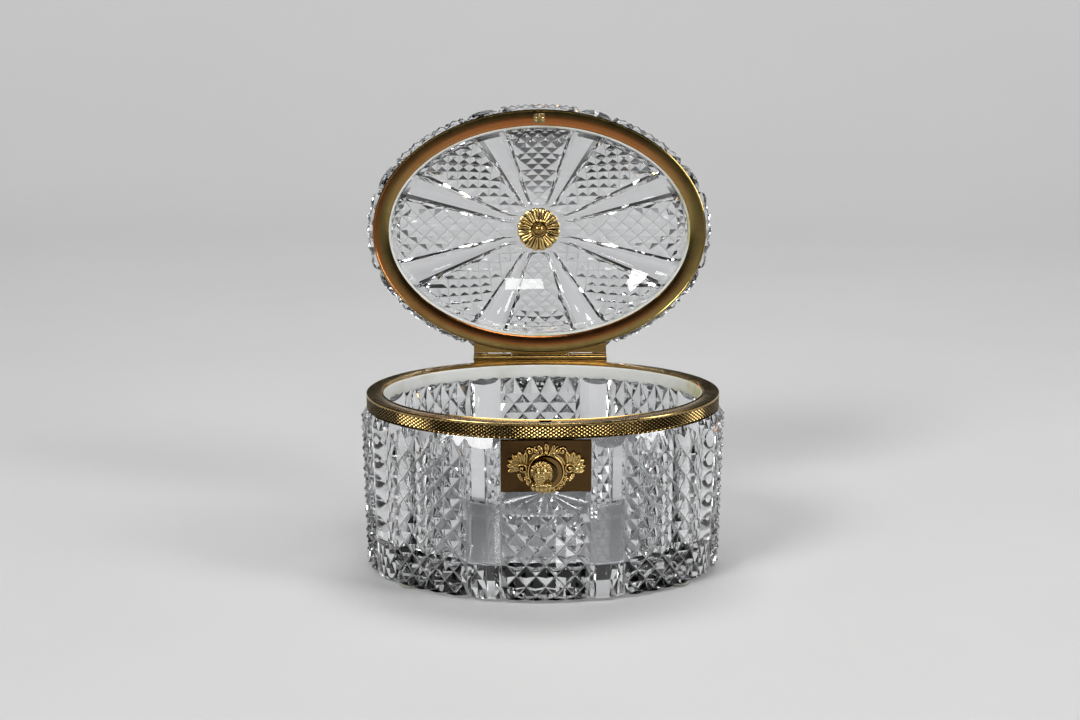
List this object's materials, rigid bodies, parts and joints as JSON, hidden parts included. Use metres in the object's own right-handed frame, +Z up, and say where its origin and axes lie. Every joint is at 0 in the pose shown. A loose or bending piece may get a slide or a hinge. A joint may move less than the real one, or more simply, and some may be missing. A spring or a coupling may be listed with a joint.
{
  "type": "oval cut-crystal casket with hinged lid",
  "caption": "Oval casket of diamond-cut crystal, its hinged domed lid standing open, with gilt-brass rims, a knurled band and a push-button latch under a cast ornament.",
  "frame": {"origin": "middle of the base's oval, on the surface that the feet stand on", "axes": "+X to the right seen from the lock, +Y from the lock to the hinge, +Z up; the lid stands open at rest"},
  "size_m": [0.1964, 0.2107, 0.239],
  "materials": {
    "crystal": "clear lead crystal, polished cuts",
    "gilt_brass": "gilt, polished, rubbed at the edges",
    "plate_brass": "polished, toned brown",
    "lock_brass": "plain, unpolished",
    "steel": "plain",
    "cement": "matt white cement with yellow stains",
    "clear_pad": "milky, slightly green",
    "washer_leather": "thin, brown"
  },
  "bodies": {
    "base": {"base_crystal": "crystal", "base_rim": "gilt_brass", "base_bedding": "cement", "foot_front_left": "clear_pad", "foot_front_right": "clear_pad", "foot_back_left": "clear_pad", "foot_back_right": "clear_pad", "hinge_base_leaf": "gilt_brass", "hinge_pin": "gilt_brass", "lock_plate": "plate_brass", "escutcheon": "gilt_brass", "escutcheon_rivets": "gilt_brass", "button_seat": "gilt_brass", "lock_case": "lock_brass", "latch_pin": "steel", "latch_spring": "steel", "button_spring": "steel"},
    "lid": {"lid_crystal": "crystal", "lid_rim": "gilt_brass", "lid_bedding": "cement", "hinge_lid_leaf": "gilt_brass", "lid_keeper": "gilt_brass", "keeper_rivet": "gilt_brass", "inner_rosette": "gilt_brass", "outer_rosette": "gilt_brass", "rosette_stud": "gilt_brass", "rosette_nut": "gilt_brass", "rosette_washers": "washer_leather"},
    "button": {"push_button": "gilt_brass", "button_stem": "steel"},
    "latch": {"latch_lever": "lock_brass"}
  },
  "joints": [
    {"name": "lid_hinge", "type": "hinge", "parent": "base", "child": "lid", "pos_m": [0, 0.0724, 0.09715], "axis": [1, 0, 0], "range_deg": [0, 98]},
    {"name": "button_push", "type": "slide", "parent": "base", "child": "button", "axis": [0, 1, 0], "range_m": [0, 0.0012], "stiffness_N_per_m": 600, "springref_m": -0.003, "deforming": ["button_spring"]},
    {"name": "latch_rock", "type": "hinge", "parent": "base", "child": "latch", "pos_m": [0, -0.0656, 0.082], "axis": [1, 0, 0], "range_deg": [0, 7.5], "stiffness_Nm_per_rad": 0.02, "springref_deg": -5.73, "deforming": ["latch_spring"]}
  ],
  "couplings": [
    {"joint": "latch_rock", "follows": "button_push", "rad_per_m": 103.63}
  ]
}
